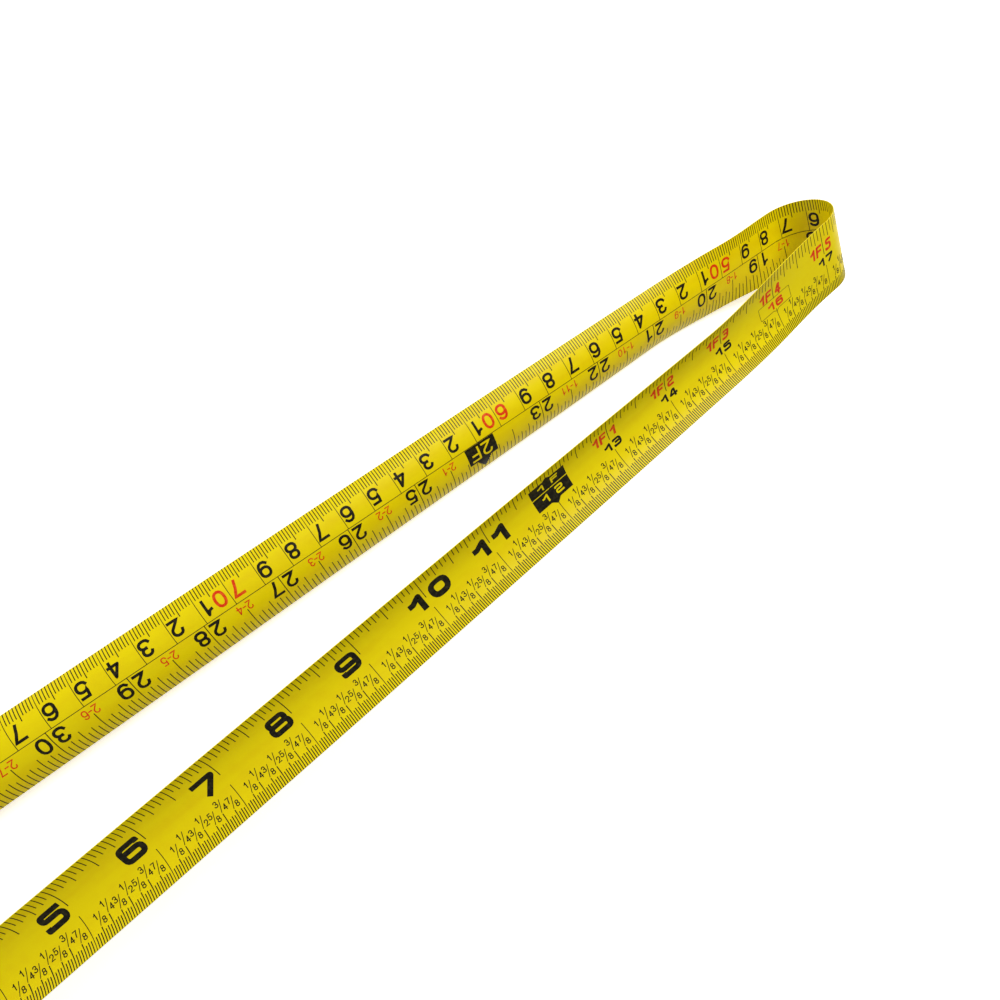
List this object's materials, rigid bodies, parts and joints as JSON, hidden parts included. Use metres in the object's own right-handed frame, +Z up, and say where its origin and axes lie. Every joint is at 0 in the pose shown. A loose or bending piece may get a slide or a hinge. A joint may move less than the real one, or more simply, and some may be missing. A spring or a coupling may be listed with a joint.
{
  "type": "tape measure",
  "caption": "Pocket tape measure with lock, belt clip and end hook; the printed yellow steel blade is drawn out and folded back over itself.",
  "frame": {"origin": "where the drum's axis meets the case's lower side face, on which it lies", "axes": "+X from the drum to the mouth and along the drawn-out blade; +Y to the base of the case; +Z up, across the case"},
  "size_m": [0.6536, 0.0766, 0.0452],
  "materials": {
    "case_plastic": "fine moulded texture",
    "grip": "soft matt rubber",
    "disc": "circular brushed",
    "wear_strip": "satin, scuffed",
    "guide": "smooth acetal",
    "bumper": "matt",
    "screw_steel": "zinc plated",
    "post_steel": "turned",
    "clip_steel": "brushed spring steel",
    "drum_plastic": "moulded",
    "spring_steel": "blued spring steel",
    "blade_paint": "yellow paint under a clear coat, printed on both faces",
    "hook_steel": "stamped, plated",
    "rivet_steel": "pressed",
    "button": "ribbed",
    "arm_plastic": "moulded",
    "pad_rubber": "matt"
  },
  "bodies": {
    "case": {"case_left": "case_plastic", "case_right": "case_plastic", "grip_left": "grip", "grip_right": "grip", "side_disc_left": "disc", "side_disc_right": "disc", "base_strip": "wear_strip", "mouth_guide": "guide", "hook_bumper": "bumper", "case_screws": "screw_steel", "spring_post": "post_steel", "post_screw": "screw_steel", "belt_clip": "clip_steel", "clip_screw": "screw_steel", "recoil_spring": "spring_steel"},
    "drum": {"drum": "drum_plastic", "drum_cover": "drum_plastic", "blade_coil": "blade_paint"},
    "blade": {"blade_case_run": "blade_paint", "blade_fold": "blade_paint"},
    "blade_end": {"blade_hook_run": "blade_paint", "hook_rivets": "rivet_steel", "rivet_plate": "rivet_steel"},
    "hook": {"end_hook": "hook_steel"},
    "lock": {"lock_button": "button", "brake_arm": "arm_plastic", "brake_pad": "pad_rubber"}
  },
  "joints": [
    {"name": "drum_spin", "type": "hinge", "parent": "case", "child": "drum", "pos_m": [0, 0, 0.019], "axis": [0, 0, -1], "range_deg": [-25.5, 53]},
    {"name": "blade_slide", "type": "slide", "parent": "case", "child": "blade", "axis": [1, 0, 0], "range_m": [-0.012, 0.025]},
    {"name": "fold_open", "type": "hinge", "parent": "blade", "child": "blade_end", "pos_m": [0.60657, 0.02193, 0.03256], "axis": [-0.0528, 0.9911, 0.1219], "range_deg": [0, 40]},
    {"name": "hook_slide", "type": "slide", "parent": "blade_end", "child": "hook", "axis": [-0.9943, -0.1063, 0], "range_m": [0, 0.001]},
    {"name": "lock_slide", "type": "slide", "parent": "case", "child": "lock", "axis": [0, 1, 0], "range_m": [0, 0.005]}
  ],
  "couplings": [
    {"joint": "blade_slide", "follows": "drum_spin", "m_per_rad": 0.0268}
  ]
}
